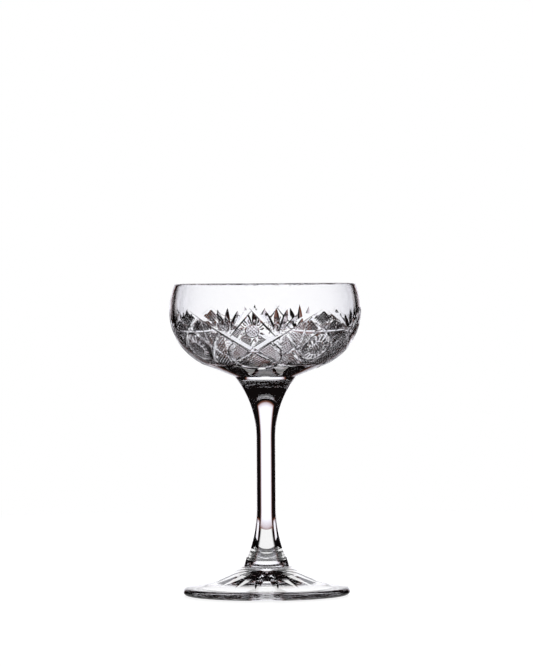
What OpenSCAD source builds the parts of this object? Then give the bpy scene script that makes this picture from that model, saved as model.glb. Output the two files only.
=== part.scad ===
// Cut crystal coupe: a blown bowl, a drawn stem and a pressed foot, joined hot at two flat seams.
// Millimetres, +Z up, origin on the table at the middle of the foot, front towards -Y.

/* [Whole glass] */
// Height from the table to the rim
glass_h = 146; // [130:1:170]

/* [Bowl] */
// Greatest outside diameter, at the belly
bowl_d = 90; // [84:1:100]
// How far the rim draws in from the belly, on each side
rim_inset = 2.8; // [1.5:0.1:4]
// Drop from the rim to the belly
rim_drop = 12.5; // [10:0.5:16]
// Radius of the round flank below the belly
flank_r = 28; // [26:0.5:31]
// Slope of the underside where it runs in to the stem, in degrees
underside_slope = 21.5; // [18:0.5:25]
// Wall thickness at the belly, where the glass is cut
belly_wall = 2.5; // [2.2:0.1:3.2]
// Wall thickness at the rim
rim_wall = 2; // [1.6:0.1:2.4]

/* [Stem] */
// Diameter where the stem meets the bowl
stem_top_d = 29; // [26:0.5:32]
// Least diameter of the shaft
stem_d = 8.9; // [7.5:0.1:11]
// Radius of the flare that runs out to the bowl
top_flare_r = 46; // [38:1:54]
// Diameter where the stem meets the foot
stem_low_d = 18.2; // [16:0.2:19]
// Radius of the flare that runs out to the foot
low_flare_r = 60; // [48:1:70]

/* [Foot] */
// Diameter of the foot
foot_d = 78; // [72:1:86]
// Thickness of the foot's round edge
foot_edge = 3.6; // [3:0.1:4.2]
// Step from the stem out to the collar that carries it
collar_step = 0.4; // [0.2:0.1:0.8]
// How much the collar spreads from its seat to its lower edge, on each side
collar_spread = 1.1; // [0.6:0.1:1.6]
// Height of the collar
collar_h = 4; // [3:0.2:5]
// Width of the ledge round the collar
ledge = 0.6; // [0.3:0.1:1]
// Height of the sweep of the foot above the table
sweep_h = 13.6; // [12:0.2:16]
// Width of the ring that the foot stands on
stand_ring = 5.8; // [4:0.2:8]
// Rise of the shallow hollow under the foot, at its middle
hollow_rise = 7; // [5:0.2:8]

/* [Cutting] */
// Depth of the broad cuts: the long crossing lines, the kites and the loops
broad_cut = 0.75; // [0.6:0.05:0.9]
// Included angle of the broad wheel, in degrees
broad_angle = 128; // [120:1:135]
// Depth of the fans' leaves
leaf_cut = 1.05; // [0.8:0.05:1.2]
// Length of the fans' leaves
leaf_length = 12; // [9:0.5:13]
// Included angle of the leaf wheel, which also cuts the star under the foot, in degrees
leaf_angle = 105; // [95:1:115]
// Depth of the fine cuts: the net of lines round each great star, and its ring
fine_cut = 0.45; // [0.35:0.05:0.55]
// Included angle of the fine wheel, in degrees
fine_angle = 136; // [125:1:140]
// Rays of the star under the foot
star_rays = 16; // [12:4:20]
// Depth of the star's rays
star_cut = 1.5; // [1:0.1:1.8]
// Distance of the star's rays from the axis, at their inner ends
star_in = 1.5; // [1.5:0.1:4]
// Distance of the star's rays from the edge of the hollow
star_margin = 5; // [3:0.2:8]

/* [Hidden] */
$fn = 96;
long_fn = 720; // sides of the large circles, of which only a short arc is used
glass = [0.90, 0.92, 0.94];
past = 0.3; // how far a cutter reaches past the surface that it cuts

// Shape of the bowl, from the sizes above
belly_z = glass_h - rim_drop;
rim_d = bowl_d - 2 * rim_inset;
flank_in = bowl_d / 2 - flank_r;
shoulder_r = (rim_drop^2 + rim_inset^2) / (2 * rim_inset);
shoulder_in = bowl_d / 2 - shoulder_r;
run_in = [flank_in + flank_r * sin(underside_slope), belly_z - flank_r * cos(underside_slope)];
seat_z = run_in[1] - (run_in[0] - stem_top_d / 2) * tan(underside_slope);
inner_belly = bowl_d / 2 - belly_wall;
inner_flank = flank_r - belly_wall;
inner_inset = inner_belly - (rim_d / 2 - rim_wall);
inner_shoulder_r = (rim_drop^2 + inner_inset^2) / (2 * inner_inset);
floor_r = inner_flank + flank_in / sin(underside_slope); // the round floor inside carries on from the flank
floor_lift = 0.05; // lets the floor cross the flank clearly
floor_middle = belly_z + (floor_r - inner_flank) * cos(underside_slope) + floor_lift;
floor_edge = flank_in + inner_flank * sin(underside_slope);

// Shape of the foot
collar_z = sweep_h + collar_h;
collar_top_r = stem_low_d / 2 + collar_step;
collar_low_r = collar_top_r + collar_spread;
edge_in = (foot_d - foot_edge) / 2;
sweep_in = collar_low_r + ledge;
sweep_low = [foot_d / 2 + 1.5, foot_edge - 0.1]; // where the sweep would run level, just past the edge
sweep_fall = sweep_h - sweep_low[1];
sweep_r = ((sweep_low[0] - sweep_in)^2 + sweep_fall^2) / (2 * sweep_fall);
hollow_edge = edge_in - stand_ring;
hollow_r = (hollow_edge^2 + hollow_rise^2) / (2 * hollow_rise);

// Layout of the pattern. A place on the bowl is [turn in degrees, distance below the belly in mm].
// Each repeat has a kite of cuts at its middle, turn 0, and a great star halfway to the next one.
repeats = 4;
half_turn = 180 / repeats;
pattern_turn = -98; // the kite that faces the front stands a little left of it
fan_base = [15.5, 13];
fan_gap = 2.5; // from the base of the fan to the near ends of its leaves
great_star = [half_turn, 18.9];
great_ring_r = 7.6;
loop_middle = [0, 24];
loop_r = 11.8;

// Wheels: depth of the cut and included angle
broad = [broad_cut, broad_angle];
leafy = [leaf_cut, leaf_angle];
fine = [fine_cut, fine_angle];

function unit(v) = v / norm(v);
function flank_angle(s) = s * 180 / PI / flank_r;
function shoulder_angle(s) = s * 180 / PI / shoulder_r;

// Distance from the axis, height, and slope of the outward normal below level, s mm below the belly
function side_at(s) =
    s < 0
    ? [shoulder_in + shoulder_r * cos(shoulder_angle(s)), belly_z - shoulder_r * sin(shoulder_angle(s)),
       shoulder_angle(s)]
    : [flank_in + flank_r * cos(flank_angle(s)), belly_z - flank_r * sin(flank_angle(s)), flank_angle(s)];

function bowl_normal(place) =
    let (slope = side_at(place[1])[2])
    [cos(slope) * cos(place[0]), cos(slope) * sin(place[0]), -sin(slope)];

function bowl_point(place, sink = 0) =
    let (side = side_at(place[1]))
    [side[0] * cos(place[0]), side[0] * sin(place[0]), side[1]] - sink * bowl_normal(place);

// The place that lies a distance from another one, in a direction counted from level, in degrees
function place_from(place, distance, direction) =
    let (s = place[1] - distance * sin(direction), r = side_at((s + place[1]) / 2)[0])
    [place[0] + distance * cos(direction) / r * 180 / PI, s];

// Middle of the circle through three points
function round_middle(a, b, c) =
    let (u = b - a, v = c - a, w = cross(u, v))
    a + ((v * v) * cross(w, u) + (u * u) * cross(v, w)) / (2 * (w * w));

// Half the width of a wheel's groove at the height where the cutter ends
function groove_spread(wheel) = (wheel[0] + past) * tan(wheel[1] / 2);

// Turns local X to one unit vector and local Z to another, at right angles to it
module stand(at, x, z) {
    y = cross(z, x);
    multmatrix([for (k = [0 : 2]) [x[k], y[k], z[k], at[k]]]) children();
}

// A mitre cut through three points of its bottom, run out to nothing at its ends
module mitre(start, middle, end, outward, wheel) {
    hub = round_middle(start, middle, end);
    radius = norm(middle - hub);
    sweep = 2 * (acos(unit(start - hub) * unit(middle - hub)) + past / radius * 180 / PI);
    back = radius + (wheel[0] + past) * ((hub - middle) * outward > 0 ? -1 : 1);
    spread = groove_spread(wheel);
    stand(hub, unit(middle - hub), unit(cross(start - hub, end - hub)))
        rotate(-sweep / 2) rotate_extrude(angle = sweep)
            polygon([[radius, 0], [back, spread], [back, -spread]]);
}

// A straight cut on the bowl: from, to, wheel, and how far its middle sags below the two ends, if it does
module bowl_mitre(cut) {
    sag = is_undef(cut[3]) ? 0 : cut[3];
    middle = (cut[0] + cut[1]) / 2 + [0, sag];
    mitre(bowl_point(cut[0]), bowl_point(middle, cut[2][0]), bowl_point(cut[1]), bowl_normal(middle), cut[2]);
}

// A round cut on the bowl: middle, radius, wheel, and the part of a turn counted from level.
// The glass bends away more up and down than sideways, so the mean direction sets how deep it lies.
module bowl_ring(ring) {
    place = ring[0];
    radius = ring[1];
    depth = ring[2][0];
    from = ring[3];
    to = ring[4];
    level_bend = cos(side_at(place[1])[2]) / side_at(place[1])[0];
    steep_share = to - from < 360 ? 0.2 + 0.6 * sin((from + to) / 2)^2 : 0.5;
    drop = radius^2 / 2 * (level_bend * (1 - steep_share) + steep_share / flank_r);
    spread = groove_spread(ring[2]);
    stand(bowl_point(place), [-sin(place[0]), cos(place[0]), 0], bowl_normal(place))
        rotate(from) rotate_extrude(angle = to - from)
            translate([radius, -drop - depth])
                polygon([[0, 0], [spread, depth + past], [-spread, depth + past]]);
}

// Cuts of one repeat
function across(cuts) = [for (cut = cuts) [[-cut[0][0], cut[0][1]], [-cut[1][0], cut[1][1]], cut[2]]];
function both_sides(cuts) = concat(cuts, across(cuts));
function leaf(direction) =
    [place_from(fan_base, fan_gap, direction), place_from(fan_base, fan_gap + leaf_length, direction), leafy];
function loop_arc(from, turn) = [loop_middle, loop_r, broad, from, from + turn];
long_lines = [[[half_turn + 3, -2], [-25.4, 33], broad], [[-17, 14], [1.5, -1.5], broad]];
star_sag = 1.4; // keeps the wheel of the star's long line square to the glass
star_line = [[half_turn - 25, 8.8], [half_turn + 25, 8.8], fine, star_sag];
net_lines = [
    [[half_turn - 8, 3], [half_turn + 19, 22], fine],
    [[half_turn - 25, 10.5], [half_turn - 5.5, 30], fine]
];
net_upright = [[half_turn - 11.5, 4], [half_turn - 13, 23], fine];

// The work in its order: straight cuts and round cuts of each stage, of which no two touch
stages = [
    [long_lines, []],
    [across(long_lines), []],
    [both_sides([leaf(52), leaf(93)]), [[great_star, great_ring_r, fine, 0, 360]]],
    [both_sides([leaf(72.5), leaf(113.5)]), [loop_arc(-134, 88)]],
    [[star_line], [loop_arc(-50, 96), loop_arc(134, 96)]],
    [net_lines, []],
    [across(net_lines), []],
    [both_sides([net_upright]), []]
];

// The bowl with the cuts of its first few stages
module cut_bowl(count) {
    if (count == 0) {
        rotate_extrude() bowl_section();
    } else {
        difference() {
            cut_bowl(count - 1);
            for (k = [0 : repeats - 1]) rotate(2 * half_turn * k) {
                for (cut = stages[count - 1][0]) bowl_mitre(cut);
                for (ring = stages[count - 1][1]) bowl_ring(ring);
            }
        }
    }
}

// The round part of a bowl's side: the flank up to the belly, then a gentle shoulder up to the top
module round_side(belly, flank, shoulder, top) {
    intersection() {
        translate([belly - flank, belly_z]) circle(flank);
        translate([belly - flank, belly_z - flank]) square(flank);
    }
    intersection() {
        translate([belly - shoulder, belly_z]) circle(shoulder);
        translate([0, belly_z]) square([belly, top - belly_z]);
    }
}

module bowl_section() {
    lip_r = rim_wall / 2;
    difference() {
        union() {
            round_side(bowl_d / 2, flank_r, shoulder_r, glass_h - lip_r);
            polygon([[0, seat_z], [stem_top_d / 2, seat_z], run_in, [flank_in, belly_z], [0, belly_z]]);
        }
        round_side(inner_belly, inner_flank, inner_shoulder_r, glass_h + past);
        intersection() {
            translate([0, floor_middle]) circle(floor_r, $fn = long_fn);
            translate([0, seat_z]) square([floor_edge, glass_h - seat_z]);
        }
    }
    translate([rim_d / 2 - lip_r, glass_h - lip_r]) circle(lip_r);
}

module bowl() {
    color(glass) rotate(pattern_turn) cut_bowl(len(stages));
}

// Length of a flare of the stem, from the shaft out to an end of the given radius
function flare_length(end_r, flare_r) = sqrt(flare_r^2 - (flare_r - end_r + stem_d / 2)^2);

module flare(end_r, flare_r) {
    difference() {
        square([end_r, flare_length(end_r, flare_r)]);
        translate([stem_d / 2 + flare_r, 0]) circle(flare_r, $fn = long_fn);
    }
}

module stem() {
    top_start = seat_z - flare_length(stem_top_d / 2, top_flare_r);
    low_start = collar_z + flare_length(stem_low_d / 2, low_flare_r);
    color(glass) rotate_extrude() {
        translate([0, collar_z]) square([stem_d / 2, seat_z - collar_z]);
        translate([0, top_start]) flare(stem_top_d / 2, top_flare_r);
        translate([0, low_start]) mirror([0, 1]) flare(stem_low_d / 2, low_flare_r);
    }
}

module foot_section() {
    difference() {
        union() {
            difference() {
                union() {
                    square([edge_in, sweep_h]);
                    translate([edge_in, foot_edge / 2]) circle(foot_edge / 2);
                }
                translate(sweep_low + [0, sweep_r]) circle(sweep_r, $fn = long_fn);
            }
            polygon([[0, sweep_h / 2], [collar_low_r, sweep_h / 2], [collar_low_r, sweep_h],
                     [collar_top_r, collar_z], [0, collar_z]]);
        }
        translate([0, hollow_rise - hollow_r]) circle(hollow_r, $fn = long_fn);
    }
}

// Height of the hollow's roof above the table, at a distance from the axis
function hollow_z(r) = hollow_rise - hollow_r + sqrt(hollow_r^2 - r^2);

module star_ray() {
    star_out = hollow_edge - star_margin;
    middle_r = (star_in + star_out) / 2;
    mitre([star_in, 0, hollow_z(star_in)], [middle_r, 0, hollow_z(middle_r) + star_cut],
          [star_out, 0, hollow_z(star_out)], [0, 0, -1], [star_cut, leaf_angle]);
}

// The foot with each fourth ray of its star, then with the next ones, so that no two rays of a stage touch.
// The ridge between two rays faces the front.
module cut_foot(count) {
    if (count == 0) {
        rotate_extrude() foot_section();
    } else {
        difference() {
            cut_foot(count - 1);
            for (k = [count : 4 : star_rays]) rotate((k - 0.5) * 360 / star_rays) star_ray();
        }
    }
}

module foot() {
    color(glass) cut_foot(4);
}

bowl();
stem();
foot();
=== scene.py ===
import math

import bmesh
import bpy
from mathutils import Matrix, Vector


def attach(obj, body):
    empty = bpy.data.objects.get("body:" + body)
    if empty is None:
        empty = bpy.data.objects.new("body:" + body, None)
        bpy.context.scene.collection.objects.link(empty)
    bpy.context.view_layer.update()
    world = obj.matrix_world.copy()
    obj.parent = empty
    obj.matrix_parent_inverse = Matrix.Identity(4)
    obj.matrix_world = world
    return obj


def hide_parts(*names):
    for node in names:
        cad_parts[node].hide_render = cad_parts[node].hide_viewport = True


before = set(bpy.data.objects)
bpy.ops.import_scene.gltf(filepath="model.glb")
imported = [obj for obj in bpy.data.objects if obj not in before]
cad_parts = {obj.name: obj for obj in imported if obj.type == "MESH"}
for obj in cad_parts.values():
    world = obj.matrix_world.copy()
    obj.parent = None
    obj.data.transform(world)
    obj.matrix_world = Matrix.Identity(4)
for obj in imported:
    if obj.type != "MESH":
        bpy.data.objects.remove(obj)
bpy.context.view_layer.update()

mm = 0.001  # shapes are drawn in millimetres and brought to metres at the end
up = Vector((0, 0, 1))
close = {"pole": 1e-4, "wedge": 4e-4, "plane": 1e-3, "square": 0.9999, "level": 0.999, "holeSides": 6}


# drawing an outline in the XZ plane, point by point

def startAt(bm, x, z):
    return bm.verts.new((x, 0, z))


def runTo(bm, vert, x, z):
    end = bmesh.ops.extrude_vert_indiv(bm, verts=[vert])["verts"][0]
    end.co = (x, 0, z)
    return end


def bendAbout(bm, vert, x, z, degrees, steps):  # clockwise, with X to the right and Z up
    made = bmesh.ops.spin(bm, geom=[vert], cent=(x, 0, z), axis=(0, 1, 0), angle=math.radians(degrees),
                          steps=steps)
    return [v for v in made["geom_last"] if isinstance(v, bmesh.types.BMVert)][0]


def lathe(bm, degrees, steps):
    whole = degrees == 360
    geom = bm.verts[:] + bm.edges[:]
    if not whole:  # a wedge starts as a closed section
        bm.verts.ensure_lookup_table()
        bm.edges.new((bm.verts[0], bm.verts[-1]))
        geom = bmesh.ops.edgeloop_fill(bm, edges=bm.edges)["faces"]
    bmesh.ops.spin(bm, geom=geom, cent=(0, 0, 0), axis=up, angle=math.radians(degrees), steps=steps,
                   use_merge=whole)
    bmesh.ops.remove_doubles(bm, verts=bm.verts, dist=close["pole"])
    bmesh.ops.recalc_face_normals(bm, faces=bm.faces)


# mitre grooves, as the wheel leaves them

def hubOf(a, b, c):
    u, v = b - a, c - a
    w = u.cross(v)
    return a + (v.dot(v) * w.cross(u) + u.dot(u) * v.cross(w)) / (2 * w.dot(w))


def groove(bm, start, middle, end, outward, depth, wheel, runOut=0.3):
    hub = hubOf(start, middle, end)
    spoke = middle - hub
    axis = (start - hub).cross(end - hub).normalized()
    half = (start - hub).angle(spoke) + runOut / spoke.length
    way = -1 if (hub - middle).dot(outward) > 0 else 1
    reach = depth + wheel["past"]
    spread = axis * reach * math.tan(math.radians(wheel["angle"] / 2))
    tip = hub + spoke
    back = tip + spoke.normalized() * way * reach
    face = bm.faces.new([bm.verts.new(p) for p in (tip, back + spread, back - spread)])
    bmesh.ops.rotate(bm, verts=face.verts, cent=hub, matrix=Matrix.Rotation(-half, 3, axis))
    steps = max(wheel["least"], math.ceil(2 * half * spoke.length / wheel["step"]))
    bmesh.ops.spin(bm, geom=[face], cent=hub, axis=axis, angle=2 * half, steps=steps)


def cutAway(blank, cutters):
    for bm in cutters:
        bmesh.ops.recalc_face_normals(bm, faces=bm.faces)
        cutter = bpy.data.objects.new("cutter", bpy.data.meshes.new("cutter"))
        bm.to_mesh(cutter.data)
        bm.free()
        bpy.context.scene.collection.objects.link(cutter)
        cut = blank.modifiers.new("cut", "BOOLEAN")
        cut.solver, cut.operation, cut.object = "MANIFOLD", "DIFFERENCE", cutter
    graph = bpy.context.evaluated_depsgraph_get()
    done = bpy.data.meshes.new_from_object(blank.evaluated_get(graph))
    for cut in list(blank.modifiers):
        bpy.data.objects.remove(cut.object)
    blank.modifiers.clear()
    done.materials.clear()
    blank.data = done


def objectOf(bm, name):
    obj = bpy.data.objects.new(name, bpy.data.meshes.new(name))
    bm.to_mesh(obj.data)
    bm.free()
    bpy.context.scene.collection.objects.link(obj)
    return obj


def repeatRound(bm, share, count):  # a wedge with a mirror plane on each side, to a whole turn
    far = Vector((-math.sin(share), math.cos(share), 0))
    sides = [f for f in bm.faces for n in (Vector((0, 1, 0)), far)
             if abs(f.normal.dot(n)) > close["square"]
             and abs(f.calc_center_median().dot(n)) < close["plane"]]
    bmesh.ops.delete(bm, geom=list(set(sides)), context="FACES")
    twin = bmesh.ops.duplicate(bm, geom=bm.verts[:] + bm.edges[:] + bm.faces[:])["geom"]
    bmesh.ops.scale(bm, vec=(1, -1, 1), verts=[v for v in twin if isinstance(v, bmesh.types.BMVert)])
    bmesh.ops.reverse_faces(bm, faces=[f for f in twin if isinstance(f, bmesh.types.BMFace)])
    bmesh.ops.spin(bm, geom=bm.verts[:] + bm.edges[:] + bm.faces[:], cent=(0, 0, 0), axis=up,
                   angle=2 * math.pi * (count - 1) / count, steps=count - 1, use_duplicate=True)
    bmesh.ops.remove_doubles(bm, verts=[v for v in bm.verts if v.is_boundary], dist=close["wedge"])
    bmesh.ops.delete(bm, geom=[e for e in bm.edges if e.is_wire], context="EDGES")  # slivers of the cutting
    bmesh.ops.holes_fill(bm, edges=[e for e in bm.edges if e.is_boundary], sides=close["holeSides"])
    bmesh.ops.recalc_face_normals(bm, faces=bm.faces)


def finishPiece(obj, node, sharpAngle):
    obj.data.transform(Matrix.Scale(mm, 4))
    obj.data.shade_smooth()
    obj.data.set_sharp_from_angle(angle=math.radians(sharpAngle))
    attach(obj, "root")
    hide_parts(node)


def markSeams(obj, heights):  # level faces where two pieces were joined hot
    for face in obj.data.polygons:
        level = abs(face.normal.z) > close["level"]
        joined = level and any(abs(face.center.z - z) < close["plane"] for z in heights)
        face.material_index = 1 if joined else 0


# crystal

crystal = {"tint": (0.997, 0.997, 1.0, 1), "ior": 1.54, "polish": 0.004, "hazeScale": 90, "hazeDetail": 3}


def crystalGlass():
    mat = bpy.data.materials.new("polishedCrystal")
    mat.use_nodes = True
    nodes, links = mat.node_tree.nodes, mat.node_tree.links
    shader = nodes["Principled BSDF"]
    shader.inputs["Base Color"].default_value = crystal["tint"]
    shader.inputs["IOR"].default_value = crystal["ior"]
    shader.inputs["Transmission Weight"].default_value = 1
    place = nodes.new("ShaderNodeTexCoord")
    haze = nodes.new("ShaderNodeTexNoise")  # traces of the polishing felt
    haze.inputs["Scale"].default_value = crystal["hazeScale"]
    haze.inputs["Detail"].default_value = crystal["hazeDetail"]
    spread = nodes.new("ShaderNodeMapRange")
    spread.inputs["To Min"].default_value = 0
    spread.inputs["To Max"].default_value = crystal["polish"]
    links.new(place.outputs["Object"], haze.inputs["Vector"])
    links.new(haze.outputs["Fac"], spread.inputs["Value"])
    links.new(spread.outputs["Result"], shader.inputs["Roughness"])
    return mat


def seamGlass():  # nothing shows where glass runs into glass
    mat = bpy.data.materials.new("hotSeam")
    mat.use_nodes = True
    shader = mat.node_tree.nodes["Principled BSDF"]
    shader.inputs["Base Color"].default_value = crystal["tint"]
    shader.inputs["Alpha"].default_value = 0
    return mat


glassFinish, seamFinish = crystalGlass(), seamGlass()
print("finishes ready")

# bowl

bowlShape = {"height": 146.0, "belly": 45.0, "rimInset": 2.8, "rimDrop": 12.5, "flank": 28.0,
             "slope": 21.5, "bellyWall": 2.5, "rimWall": 2.0, "seat": 14.5, "floorTilt": 21.5,
             "floorSteps": 20, "insideSteps": 26, "shoulderSteps": 8, "rimSteps": 12, "flankSteps": 32,
             "stepsPerDegree": 0.8, "sharp": 14}
bellyZ = bowlShape["height"] - bowlShape["rimDrop"]
flankIn = bowlShape["belly"] - bowlShape["flank"]
shoulder = (bowlShape["rimDrop"] ** 2 + bowlShape["rimInset"] ** 2) / (2 * bowlShape["rimInset"])
lowTurn = 90 - bowlShape["slope"]
runIn = (flankIn + bowlShape["flank"] * math.cos(math.radians(lowTurn)),
         bellyZ - bowlShape["flank"] * math.sin(math.radians(lowTurn)))
seatZ = runIn[1] - (runIn[0] - bowlShape["seat"]) * math.tan(math.radians(bowlShape["slope"]))


def bowlBlank(degrees):
    bm = bmesh.new()
    s = bowlShape
    inBelly = s["belly"] - s["bellyWall"]
    inInset = inBelly - (s["belly"] - s["rimInset"] - s["rimWall"])
    inShoulder = (s["rimDrop"] ** 2 + inInset ** 2) / (2 * inInset)
    lip = s["rimWall"] / 2
    rise = math.asin((s["rimDrop"] - lip) / shoulder)
    inRise = math.asin((s["rimDrop"] - lip) / inShoulder)
    inFlank = s["flank"] - s["bellyWall"]
    tilt = math.radians(s["floorTilt"])
    floorRound = inFlank + flankIn / math.sin(tilt)
    floorMid = bellyZ + (floorRound - inFlank) * math.cos(tilt)
    p = startAt(bm, 0, floorMid - floorRound)
    p = bendAbout(bm, p, 0, floorMid, -s["floorTilt"], s["floorSteps"])
    p = bendAbout(bm, p, flankIn, bellyZ, s["floorTilt"] - 90, s["insideSteps"])
    p = bendAbout(bm, p, inBelly - inShoulder, bellyZ, -math.degrees(inRise), s["shoulderSteps"])
    outer = s["belly"] - shoulder + shoulder * math.cos(rise)
    p = bendAbout(bm, p, (p.co.x + outer) / 2, p.co.z, 180, s["rimSteps"])
    p = bendAbout(bm, p, s["belly"] - shoulder, bellyZ, math.degrees(rise), s["shoulderSteps"])
    p = bendAbout(bm, p, flankIn, bellyZ, lowTurn, s["flankSteps"])
    p = runTo(bm, p, s["seat"], seatZ)
    runTo(bm, p, 0, seatZ)
    lathe(bm, degrees, round(degrees * s["stepsPerDegree"]))
    return bm


def sideAt(drop):  # radius, height and slope of the side, by the distance below the belly
    s = bowlShape
    if drop < 0:
        turn = drop / shoulder
        return s["belly"] - shoulder + shoulder * math.cos(turn), bellyZ - shoulder * math.sin(turn), turn
    turn = drop / s["flank"]
    if turn > math.radians(lowTurn):
        more = drop - s["flank"] * math.radians(lowTurn)
        tilt = math.radians(s["slope"])
        return runIn[0] - more * math.cos(tilt), runIn[1] - more * math.sin(tilt), math.radians(lowTurn)
    return flankIn + s["flank"] * math.cos(turn), bellyZ - s["flank"] * math.sin(turn), turn


def bowlNormal(place):
    turn, slope = math.radians(place[0]), sideAt(place[1])[2]
    level = math.cos(slope)
    return Vector((level * math.cos(turn), level * math.sin(turn), -math.sin(slope)))


def bowlPoint(place, sink=0):
    turn = math.radians(place[0])
    radius, height = sideAt(place[1])[:2]
    return Vector((radius * math.cos(turn), radius * math.sin(turn), height)) - sink * bowlNormal(place)


def placeFrom(place, distance, direction):
    drop = place[1] - distance * math.sin(math.radians(direction))
    radius = sideAt((drop + place[1]) / 2)[0]
    return place[0] + math.degrees(distance * math.cos(math.radians(direction)) / radius), drop


# cuts of one half of a repeat: the kite stands at turn 0 and the great star at turn 45
# a place is its turn in degrees and its distance below the belly, along the glass

broadWheel = {"angle": 128, "past": 0.25, "step": 0.8, "least": 10}
leafWheel = {"angle": 105, "past": 0.3, "step": 0.8, "least": 10}
netWheel = {"angle": 136, "past": 0.2, "step": 1.2, "least": 5}
fineWheel = {"angle": 115, "past": 0.15, "step": 1.2, "least": 5}
hatchWheel = {"angle": 86, "past": 0.08, "step": 3, "least": 1}
pattern = {"repeats": 4, "turn": -98.0, "broad": 0.75, "leaf": 1.05, "net": 0.45, "fine": 0.4, "ring": 0.35,
           "hatch": 0.46, "hatchPitch": 1.15, "hatchLeast": 0.8, "hatchTurns": (45, 135), "hatchSplit": 22,
           "ringWhole": 0.5, "ringLeast": 0.2, "ringMore": 0.6, "fanBase": (15.5, 13),
           "leaves": (52, 72.5, 93, 113.5), "leafNear": 2.5, "leafFar": 14.5,
           "kiteStar": (0, 9.5), "kiteButton": 2.9, "kiteHatch": 2.5, "kiteRays": (3.5, 6),
           "kiteTurns": range(-75, 76, 30), "greatTurns": [101.25 + 22.5 * k for k in range(8)],
           "greatStar": (45, 18.9), "greatButton": 3.2, "greatHatch": 2.8, "greatRays": (3.9, 7.2),
           "greatRing": 7.6,
           "loop": (0, 24), "loopRadius": 11.8, "loopSide": (-50, 46), "loopLow": (-134, -46)}
broadLines = [((48, -2), (-25.4, 33)), ((-48, -2), (25.4, 33))]
kiteLines = [((17, 14), (-1.5, -1.5)), ((-17, 14), (1.5, -1.5))]
starLine = ((20, 8.8), (70, 8.8))
starSag = 1.4  # its middle sags, so that the wheel stands square to the glass
netLines = [((37, 3), (64, 22)), ((53, 3), (26, 22)), ((33.5, 4), (32, 23)), ((20, 10.5), (39.5, 30))]
hatchFields = [
    [(1.2, 20.9), (13.2, 15.2), (16.5, 17.2), (18.4, 20.5), (18.6, 24.5), (16.6, 28.2)],
    [(0, 21.8), (15.5, 29.3), (12, 32), (6, 34.6), (0, 35.4), (-6, 34.6), (-12, 32), (-15.5, 29.3)],
    [(45, 0.6), (38.2, 3.4), (45, 8.0), (51.8, 3.4)],
    [(36.6, 4.4), (34.2, 5.2), (33.6, 9.3), (43.5, 9.3)],
    [(33, 5.4), (24.5, 8.4), (32.8, 9.2)],
    [(21.8, 10.2), (32.8, 10.9), (32.5, 16.6), (27.6, 18.6)],
    [(19, 12.6), (20.6, 11.6), (26.6, 18.4), (24.5, 22), (20, 22.5), (19.2, 17)],
    [(32.4, 17.6), (28, 20.2), (31.8, 24)],
    [(19.5, 24), (27, 20.9), (31.4, 25), (37.5, 30.3), (30, 32), (20, 31)],
    [(33.2, 11), (38.5, 11.2), (35, 14.5), (33, 16)],
    [(33.8, 25.4), (45, 27.4), (46, 31.4), (39.5, 29.8)],
]


def bowlGroove(bm, start, end, depth, wheel, sag=0):
    middle = ((start[0] + end[0]) / 2, (start[1] + end[1]) / 2 + sag)
    bed = bowlPoint(start), bowlPoint(middle, depth), bowlPoint(end)
    groove(bm, *bed, bowlNormal(middle), depth, wheel)


def bowlRing(bm, place, radius, depth, start, end, wheel):
    whole = end - start >= 360
    away, slope = sideAt(place[1])[::2]
    upright = math.sin(math.radians(start + end) / 2) ** 2
    steep = pattern["ringWhole"] if whole else pattern["ringLeast"] + pattern["ringMore"] * upright
    bend = math.cos(slope) / away * (1 - steep) + steep / bowlShape["flank"]
    fall = radius ** 2 / 2 * bend  # how far the glass falls away under the ring
    normal = bowlNormal(place)
    level = Vector((-math.sin(math.radians(place[0])), math.cos(math.radians(place[0])), 0))
    reach = depth + wheel["past"]
    spread = level * reach * math.tan(math.radians(wheel["angle"] / 2))
    middle = bowlPoint(place)
    tip = middle + level * radius - normal * (fall + depth)
    back = tip + normal * reach
    face = bm.faces.new([bm.verts.new(p) for p in (tip, back + spread, back - spread)])
    turned = Matrix.Rotation(math.radians(start), 3, normal)
    bmesh.ops.rotate(bm, verts=face.verts, cent=middle, matrix=turned)
    sweep = math.radians(end - start)
    steps = math.ceil(sweep * radius / wheel["step"])
    bmesh.ops.spin(bm, geom=[face], cent=middle, axis=normal, angle=sweep, steps=steps, use_merge=whole)
    if whole:  # the starting section stays inside the closed ring
        inside = [f for f in bm.faces if abs(f.normal.dot(normal)) < 0.01 and len(f.verts) == 3]
        bmesh.ops.delete(bm, geom=inside, context="FACES_ONLY")


def hatchLines(field, direction, odd):  # parallel lines clipped to a convex field
    meanDrop = sum(p[1] for p in field) / len(field)
    scale = math.radians(1) * sideAt(meanDrop)[0]
    meanTurn = sum(p[0] for p in field) / len(field)
    home = pattern["greatStar"][0] if meanTurn > pattern["hatchSplit"] else pattern["kiteStar"][0]
    flat = [Vector(((p[0] - home) * scale, -p[1])) for p in field]
    along = Vector((math.cos(math.radians(direction)), math.sin(math.radians(direction))))
    across = Vector((-along.y, along.x))
    anchor = Vector((0, -meanDrop)).dot(across)
    reach = [p.dot(across) - anchor for p in flat]
    pitch = pattern["hatchPitch"]
    for k in range(math.ceil(min(reach) / pitch), math.floor(max(reach) / pitch) + 1):
        if k % 2 != odd:
            continue
        level, ends = anchor + k * pitch, []
        for p, q in zip(flat, flat[1:] + flat[:1]):
            a, b = p.dot(across) - level, q.dot(across) - level
            if (a < 0) != (b < 0):
                ends.append(p.lerp(q, a / (a - b)).dot(along))
        if len(ends) == 2 and abs(ends[0] - ends[1]) > pattern["hatchLeast"]:
            tips = [across * level + along * t for t in sorted(ends)]
            yield [(v.x / scale + home, -v.y) for v in tips]


def roundField(place, radius):
    return [placeFrom(place, radius, d) for d in range(0, 360, 30)]


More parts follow.
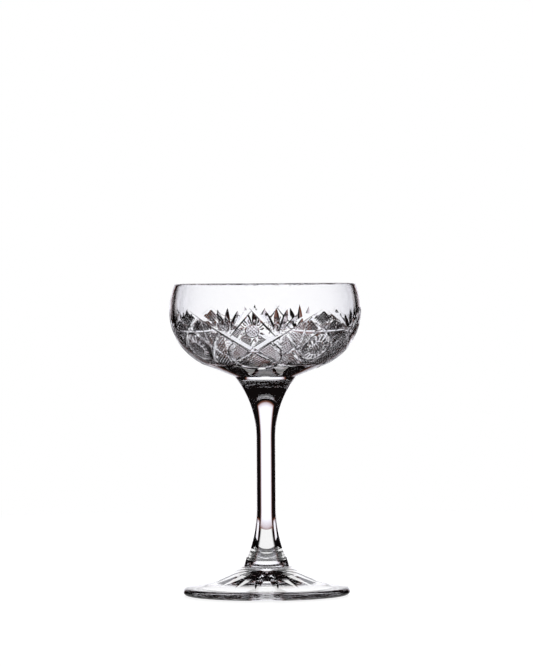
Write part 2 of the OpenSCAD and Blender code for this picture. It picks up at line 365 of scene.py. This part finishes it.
def hatchCutter(direction, odd):
    bm = bmesh.new()
    buttons = [roundField(pattern["kiteStar"], pattern["kiteHatch"]),
               roundField(pattern["greatStar"], pattern["greatHatch"])]
    for field in hatchFields + buttons:
        for start, end in hatchLines(field, direction, odd):
            middle = ((start[0] + end[0]) / 2, (start[1] + end[1]) / 2)
            sunk = [bowlPoint(p, pattern["hatch"]) for p in (start, middle, end)]
            groove(bm, *sunk, bowlNormal(middle), pattern["hatch"], hatchWheel, 0)
    return bm


def grooveSet(lines, depth, wheel, sag=0):
    bm = bmesh.new()
    for start, end in lines:
        bowlGroove(bm, start, end, depth, wheel, sag)
    return bm


def starLines(place, near, far, directions):
    return [(placeFrom(place, near, d), placeFrom(place, far, d)) for d in directions]


def bowlCutters():
    p = pattern
    leaves = starLines(p["fanBase"], p["leafNear"], p["leafFar"], p["leaves"])
    kiteRays = starLines(p["kiteStar"], *p["kiteRays"], p["kiteTurns"])
    greatRays = starLines(p["greatStar"], *p["greatRays"], p["greatTurns"])
    cutters = [hatchCutter(d, odd) for d in p["hatchTurns"] for odd in (0, 1)]
    cutters += [grooveSet([starLine], p["net"], netWheel, starSag)]
    cutters += [grooveSet([line], p["net"], netWheel) for line in netLines]
    cutters += [grooveSet(kiteRays[k::2] + greatRays[k::2], p["fine"], fineWheel) for k in (0, 1)]
    for parts in ([(p["loop"], p["loopRadius"], p["broad"], *p["loopSide"], broadWheel),
                   (p["greatStar"], p["greatRing"], p["net"], 0, 360, netWheel)],
                  [(p["loop"], p["loopRadius"], p["broad"], *p["loopLow"], broadWheel)],
                  [(p["kiteStar"], p["kiteButton"], p["ring"], 0, 360, fineWheel),
                   (p["greatStar"], p["greatButton"], p["ring"], 0, 360, fineWheel)]):
        bm = bmesh.new()
        for part in parts:
            bowlRing(bm, *part)
        cutters.append(bm)
    cutters += [grooveSet(leaves[k::2], p["leaf"], leafWheel) for k in (0, 1)]
    cutters += [grooveSet([line], p["broad"], broadWheel) for line in kiteLines + broadLines]
    return cutters


def makeBowl():
    share = 180 / pattern["repeats"]
    wedge = objectOf(bowlBlank(share), "cutBowl")
    cutAway(wedge, bowlCutters())
    bm = bmesh.new()
    bm.from_mesh(wedge.data)
    repeatRound(bm, math.radians(share), pattern["repeats"])
    turned = Matrix.Rotation(math.radians(pattern["turn"]), 3, up)  # the front kite stands a little left
    bmesh.ops.rotate(bm, verts=bm.verts, cent=(0, 0, 0), matrix=turned)
    bm.to_mesh(wedge.data)
    bm.free()
    wedge.data.materials.append(glassFinish)
    wedge.data.materials.append(seamFinish)
    markSeams(wedge, [seatZ])
    finishPiece(wedge, "bowl", bowlShape["sharp"])
    return wedge


bowl = makeBowl()
print("bowl cut:", len(bowl.data.polygons), "faces")

# foot

footShape = {"radius": 39.0, "edge": 3.6, "collarTop": 9.5, "collarLow": 10.6, "collarHeight": 4.0,
             "ledge": 0.6, "sweepHeight": 13.6, "sweepPast": 1.5, "sweepUnder": 0.1,
             "ring": 5.8, "hollowRise": 7.0,
             "sweepSteps": 40, "edgeSteps": 20, "hollowSteps": 36, "leastSteps": 6, "stepsPerDegree": 0.9,
             "sharp": 14}
star = {"rays": 16, "depth": 1.5, "near": 1.5, "margin": 5.0}
collarZ = footShape["sweepHeight"] + footShape["collarHeight"]
edgeIn = footShape["radius"] - footShape["edge"] / 2
hollowEdge = edgeIn - footShape["ring"]
hollow = (hollowEdge ** 2 + footShape["hollowRise"] ** 2) / (2 * footShape["hollowRise"])


def footBlank(degrees):
    bm = bmesh.new()
    s = footShape
    sweepIn = s["collarLow"] + s["ledge"]
    lowX, lowZ = s["radius"] + s["sweepPast"], s["edge"] - s["sweepUnder"]
    fall = s["sweepHeight"] - lowZ
    sweep = ((lowX - sweepIn) ** 2 + fall ** 2) / (2 * fall)
    sweepStart = math.degrees(math.asin((lowX - sweepIn) / sweep))
    sweepEnd = math.degrees(math.asin((lowX - edgeIn) / sweep))
    p = startAt(bm, 0, collarZ)
    p = runTo(bm, p, s["collarTop"], collarZ)
    p = runTo(bm, p, s["collarLow"], s["sweepHeight"])
    p = runTo(bm, p, sweepIn, s["sweepHeight"])
    p = bendAbout(bm, p, lowX, lowZ + sweep, sweepEnd - sweepStart, s["sweepSteps"])
    p = runTo(bm, p, edgeIn, s["edge"])
    p = bendAbout(bm, p, edgeIn, s["edge"] / 2, 180, s["edgeSteps"])
    p = runTo(bm, p, hollowEdge, 0)
    arch = math.degrees(math.asin(hollowEdge / hollow))
    bendAbout(bm, p, 0, s["hollowRise"] - hollow, -arch, s["hollowSteps"])
    lathe(bm, degrees, max(s["leastSteps"], round(degrees * s["stepsPerDegree"])))
    return bm


def hollowZ(r):
    return footShape["hollowRise"] - hollow + math.sqrt(hollow ** 2 - r ** 2)


def makeFoot():
    share = 180 / star["rays"]
    wedge = objectOf(footBlank(share), "starFoot")
    near, far = star["near"], hollowEdge - star["margin"]
    mid = (near + far) / 2
    bm = bmesh.new()
    groove(bm, Vector((near, 0, hollowZ(near))), Vector((mid, 0, hollowZ(mid) + star["depth"])),
           Vector((far, 0, hollowZ(far))), -up, star["depth"], leafWheel)
    cutAway(wedge, [bm])
    bm = bmesh.new()
    bm.from_mesh(wedge.data)
    repeatRound(bm, math.radians(share), star["rays"])
    turned = Matrix.Rotation(math.radians(share), 3, up)  # the ridge between two rays faces the front
    bmesh.ops.rotate(bm, verts=bm.verts, cent=(0, 0, 0), matrix=turned)
    bm.to_mesh(wedge.data)
    bm.free()
    wedge.data.materials.append(glassFinish)
    wedge.data.materials.append(seamFinish)
    markSeams(wedge, [collarZ])
    finishPiece(wedge, "foot", footShape["sharp"])
    return wedge


foot = makeFoot()
print("foot cut:", len(foot.data.polygons), "faces")

# stem

stemShape = {"top": 14.5, "shaft": 4.45, "low": 9.1, "topFlare": 46.0, "lowFlare": 60.0, "lowSteps": 32,
             "topSteps": 48, "steps": 192, "sharp": 14}


def makeStem():
    s = stemShape
    topTurn = math.acos((s["topFlare"] - s["top"] + s["shaft"]) / s["topFlare"])
    lowTurnIn = math.acos((s["lowFlare"] - s["low"] + s["shaft"]) / s["lowFlare"])
    topZ = seatZ - s["topFlare"] * math.sin(topTurn)
    lowZ = collarZ + s["lowFlare"] * math.sin(lowTurnIn)
    bm = bmesh.new()
    p = startAt(bm, 0, collarZ)
    p = runTo(bm, p, s["low"], collarZ)
    p = bendAbout(bm, p, s["shaft"] + s["lowFlare"], lowZ, math.degrees(lowTurnIn), s["lowSteps"])
    p = runTo(bm, p, s["shaft"], topZ)
    p = bendAbout(bm, p, s["shaft"] + s["topFlare"], topZ, math.degrees(topTurn), s["topSteps"])
    runTo(bm, p, 0, seatZ)
    lathe(bm, 360, s["steps"])
    obj = objectOf(bm, "drawnStem")
    obj.data.materials.append(glassFinish)
    obj.data.materials.append(seamFinish)
    markSeams(obj, [collarZ, seatZ])
    finishPiece(obj, "stem", s["sharp"])
    return obj


stem = makeStem()
print("stem drawn:", len(stem.data.polygons), "faces")

# studio: what shows in the glass is white ahead of each main view, and dark between

studio = {"panel": 0.40, "panelTop": 0.45, "panelLevel": 1.2,  # half widths, as slopes seen from the glass
          "corner": 0.19, "cornerFall": 0.36, "cornerHalf": 0.17, "steep": 0.42,  # in the corners and below
          "roomLevel": 0.55, "dark": 0.004}
card = {"far": 0.5, "half": 0.235, "middle": 0.125, "tall": 0.235, "reach": 1.14}
panelEdge = {0.36: (0.92, 0.92, 1.0, 1), 0.45: (0.60, 0.53, 0.58, 1), 0.505: (0.16, 0.06, 0.035, 1),
             0.57: (0.004, 0.003, 0.003, 1)}
# the table is pale for the camera; what glass sees of it near the foot is a painted glow, white under the
# foot and fading to painted dark
table = {"radius": 0.7, "drop": 0.0004, "colour": (0.25, 0.25, 0.26, 1), "roughness": 0.6, "glow": 0.84,
         "whiteNear": 0.041, "whiteBack": 0.030, "whiteSoft": 0.03, "fadeFrom": 0.75, "fadeTo": 1.1,
         "near": 0.055, "back": 0.12, "meetings": 3.5, "segments": 96}
lamp = {"place": (0, 0.1, 1.6), "aim": (0, 0, 0.05), "size": 1.2, "power": 8}


def calcIn(nodes, links):
    def calc(kind, a, b=None):
        node = nodes.new("ShaderNodeMath")
        node.operation = kind
        for socket, value in zip(node.inputs, (a, b)):
            if isinstance(value, (int, float)):
                socket.default_value = value
            elif value is not None:
                links.new(value, socket)
        return node.outputs["Value"]
    return calc


def panelRamp(nodes):  # white, then the warm edge of the panel, then the dark room
    ramp = nodes.new("ShaderNodeValToRGB")
    stops = ramp.color_ramp.elements
    stops.remove(stops[1])
    stops[0].position, stops[0].color = 0, (1, 1, 1, 1)
    for at, colour in panelEdge.items():
        stops.new(at).color = colour
    return ramp


def studioWorld():
    world = bpy.data.worlds.new("studio")
    bpy.context.scene.world = world
    world.use_nodes = True
    nodes, links = world.node_tree.nodes, world.node_tree.links
    out = nodes["World Output"]
    plain = nodes["Background"]
    plain.inputs["Strength"].default_value = studio["roomLevel"]
    plain.inputs["Color"].default_value = (1, 1, 1, 1)
    coord = nodes.new("ShaderNodeTexCoord")
    split = nodes.new("ShaderNodeSeparateXYZ")
    links.new(coord.outputs["Generated"], split.inputs["Vector"])

    path = nodes.new("ShaderNodeLightPath")
    calc = calcIn(nodes, links)
    # a panel's measure is 1 at its edge: on both sides, in front, low in the corners, straight below
    panelShape = studio["panel"] / studio["panelTop"]
    x, y, z = (split.outputs[axis] for axis in "XYZ")
    tall = calc("MULTIPLY", calc("ABSOLUTE", z), panelShape)
    sideways = calc("MULTIPLY", calc("ABSOLUTE", x), studio["panel"])
    sides = calc("DIVIDE", calc("MAXIMUM", calc("ABSOLUTE", y), tall), calc("MAXIMUM", sideways, 1e-4))
    forward = calc("MULTIPLY", y, -studio["panel"])
    front = calc("DIVIDE", calc("MAXIMUM", calc("ABSOLUTE", x), tall), calc("MAXIMUM", forward, 1e-4))
    one, other = calc("ABSOLUTE", calc("ADD", x, y)), calc("ABSOLUTE", calc("SUBTRACT", x, y))
    beside = calc("DIVIDE", calc("MINIMUM", one, other), calc("MAXIMUM", one, other))
    above = calc("ABSOLUTE", calc("ADD", z, studio["cornerFall"]))
    beside, above = calc("DIVIDE", beside, studio["corner"]), calc("DIVIDE", above, studio["cornerHalf"])
    corner = calc("MAXIMUM", beside, above)
    steep = calc("DIVIDE", calc("ADD", z, 1), studio["steep"])
    panel = calc("MINIMUM", calc("MINIMUM", sides, front), calc("MINIMUM", corner, steep))
    unbounced = calc("ADD", panel, path.outputs["Glossy Depth"])  # not in reflections inside the glass
    ramp = panelRamp(nodes)
    links.new(calc("MULTIPLY", unbounced, 0.5), ramp.inputs["Fac"])
    panels = nodes.new("ShaderNodeBackground")
    panels.inputs["Strength"].default_value = studio["panelLevel"]
    links.new(ramp.outputs["Color"], panels.inputs["Color"])
    white = nodes.new("ShaderNodeBackground")
    white.inputs["Color"].default_value = (1, 1, 1, 1)
    throughGlass = calc("MAXIMUM", path.outputs["Is Transmission Ray"], path.outputs["Is Glossy Ray"])
    inner = nodes.new("ShaderNodeMixShader")
    links.new(throughGlass, inner.inputs["Fac"])
    links.new(plain.outputs["Background"], inner.inputs[1])
    links.new(panels.outputs["Background"], inner.inputs[2])
    outer = nodes.new("ShaderNodeMixShader")
    links.new(path.outputs["Is Camera Ray"], outer.inputs["Fac"])
    links.new(inner.outputs["Shader"], outer.inputs[1])
    links.new(white.outputs["Background"], outer.inputs[2])
    links.new(outer.outputs["Shader"], out.inputs["Surface"])


def whiteCard():  # stands behind the glass for what is seen through it, out of the camera's sight
    bm = bmesh.new()
    bmesh.ops.create_grid(bm, x_segments=1, y_segments=1, size=card["reach"])
    bmesh.ops.scale(bm, vec=(card["half"], card["tall"], 1), verts=bm.verts)
    upright = Matrix.Rotation(math.radians(90), 3, "X")
    bmesh.ops.rotate(bm, verts=bm.verts, cent=(0, 0, 0), matrix=upright)
    bmesh.ops.translate(bm, verts=bm.verts, vec=(0, card["far"], card["middle"]))
    back = objectOf(bm, "card")
    mat = bpy.data.materials.new("whiteCard")
    mat.use_nodes = True
    nodes, links = mat.node_tree.nodes, mat.node_tree.links
    calc = calcIn(nodes, links)
    place = nodes.new("ShaderNodeTexCoord")
    split = nodes.new("ShaderNodeSeparateXYZ")
    links.new(place.outputs["Object"], split.inputs["Vector"])
    beside = calc("DIVIDE", calc("ABSOLUTE", split.outputs["X"]), card["half"])
    above = calc("ABSOLUTE", calc("SUBTRACT", split.outputs["Z"], card["middle"]))
    above = calc("DIVIDE", above, card["tall"])
    ramp = panelRamp(nodes)
    links.new(calc("MULTIPLY", calc("MAXIMUM", beside, above), 0.5), ramp.inputs["Fac"])
    glow = nodes.new("ShaderNodeEmission")
    glow.inputs["Strength"].default_value = studio["panelLevel"]
    links.new(ramp.outputs["Color"], glow.inputs["Color"])
    links.new(glow.outputs["Emission"], nodes["Material Output"].inputs["Surface"])
    back.data.materials.append(mat)
    back.visible_camera = back.visible_diffuse = back.visible_shadow = False


def studioFloor():
    bm = bmesh.new()
    bmesh.ops.create_circle(bm, cap_ends=True, segments=table["segments"], radius=table["radius"])
    bmesh.ops.translate(bm, verts=bm.verts, vec=(0, 0, -table["drop"]))
    floor = objectOf(bm, "floor")
    mat = bpy.data.materials.new("paleTableAndPaintedGlow")
    mat.use_nodes = True
    nodes, links = mat.node_tree.nodes, mat.node_tree.links
    matt = nodes["Principled BSDF"]
    matt.inputs["Base Color"].default_value = table["colour"]
    matt.inputs["Roughness"].default_value = table["roughness"]
    glow = nodes.new("ShaderNodeEmission")
    glow.inputs["Strength"].default_value = table["glow"]
    lit = nodes.new("ShaderNodeAddShader")
    links.new(matt.outputs["BSDF"], lit.inputs[0])
    links.new(glow.outputs["Emission"], lit.inputs[1])
    calc = calcIn(nodes, links)
    place = nodes.new("ShaderNodeTexCoord")
    split = nodes.new("ShaderNodeSeparateXYZ")
    links.new(place.outputs["Object"], split.inputs["Vector"])
    x, y = split.outputs["X"], split.outputs["Y"]
    apart = calc("SQRT", calc("ADD", calc("MULTIPLY", x, x), calc("MULTIPLY", y, y)))
    aside = calc("DIVIDE", calc("ABSOLUTE", x), calc("MAXIMUM", y, 1e-5))
    behind = calc("DIVIDE", calc("SUBTRACT", y, table["whiteBack"]), table["whiteSoft"])
    underFoot = calc("MAXIMUM", calc("DIVIDE", apart, table["whiteNear"]), calc("ADD", behind, 1))
    # painted light and shade for glass rays: the floor glows white under the foot and in a wedge behind it,
    # fading to painted dark beyond
    shade = nodes.new("ShaderNodeMapRange")
    shade.interpolation_type = "SMOOTHSTEP"
    shade.inputs["From Min"].default_value = table["fadeFrom"]
    shade.inputs["From Max"].default_value = table["fadeTo"]
    shade.inputs["To Min"].default_value = 1
    shade.inputs["To Max"].default_value = studio["dark"]
    links.new(calc("MINIMUM", underFoot, calc("DIVIDE", aside, studio["panel"])), shade.inputs["Value"])
    near = nodes.new("ShaderNodeEmission")
    path = nodes.new("ShaderNodeLightPath")
    first = calc("LESS_THAN", path.outputs["Ray Depth"], table["meetings"])
    links.new(calc("MULTIPLY", shade.outputs["Result"], first), near.inputs["Strength"])
    clear = nodes.new("ShaderNodeBsdfTransparent")  # past the foot, glass shows the panels
    through = nodes.new("ShaderNodeMixShader")
    inBack = calc("LESS_THAN", calc("MAXIMUM", calc("DIVIDE", aside, studio["panel"]),
                                    calc("DIVIDE", apart, table["back"])), 1)
    links.new(calc("MAXIMUM", calc("LESS_THAN", apart, table["near"]), inBack), through.inputs["Fac"])
    links.new(clear.outputs["BSDF"], through.inputs[1])
    links.new(near.outputs["Emission"], through.inputs[2])
    both = nodes.new("ShaderNodeMixShader")
    throughGlass = calc("MAXIMUM", path.outputs["Is Transmission Ray"], path.outputs["Is Glossy Ray"])
    links.new(throughGlass, both.inputs["Fac"])
    links.new(lit.outputs["Shader"], both.inputs[1])
    links.new(through.outputs["Shader"], both.inputs[2])
    links.new(both.outputs["Shader"], nodes["Material Output"].inputs["Surface"])
    floor.data.materials.append(mat)


def softBox():
    light = bpy.data.lights.new("overhead", "AREA")
    light.shape = "SQUARE"
    light.size, light.energy = lamp["size"], lamp["power"]
    obj = bpy.data.objects.new("overhead", light)
    obj.location = lamp["place"]
    obj.rotation_euler = (Vector(lamp["aim"]) - Vector(lamp["place"])).to_track_quat("-Z", "Y").to_euler()
    obj.visible_transmission = obj.visible_glossy = False
    bpy.context.scene.collection.objects.link(obj)


studioWorld()
whiteCard()
studioFloor()
softBox()
print("studio lit")

# camera

lens = {"distance": 1.95, "height": 0.150, "focal": 225, "down": 0.8, "roll": -0.35, "aside": 0.0006,
        "sensor": 36}
bounces = {"all": 32, "glossy": 16}
camera = bpy.data.objects.new("camera", bpy.data.cameras.new("camera"))
camera.data.lens = lens["focal"]
camera.data.sensor_width = lens["sensor"]
camera.location = (lens["aside"], -lens["distance"], lens["height"])
camera.rotation_euler = (Matrix.Rotation(math.radians(90 - lens["down"]), 3, "X")
                         @ Matrix.Rotation(math.radians(lens["roll"]), 3, "Z")).to_euler()
bpy.context.scene.collection.objects.link(camera)
bpy.context.scene.camera = camera
bpy.context.scene.view_settings.view_transform = "Standard"
bpy.context.scene.cycles.max_bounces = bounces["all"]
bpy.context.scene.cycles.transmission_bounces = bounces["all"]
bpy.context.scene.cycles.glossy_bounces = bounces["glossy"]
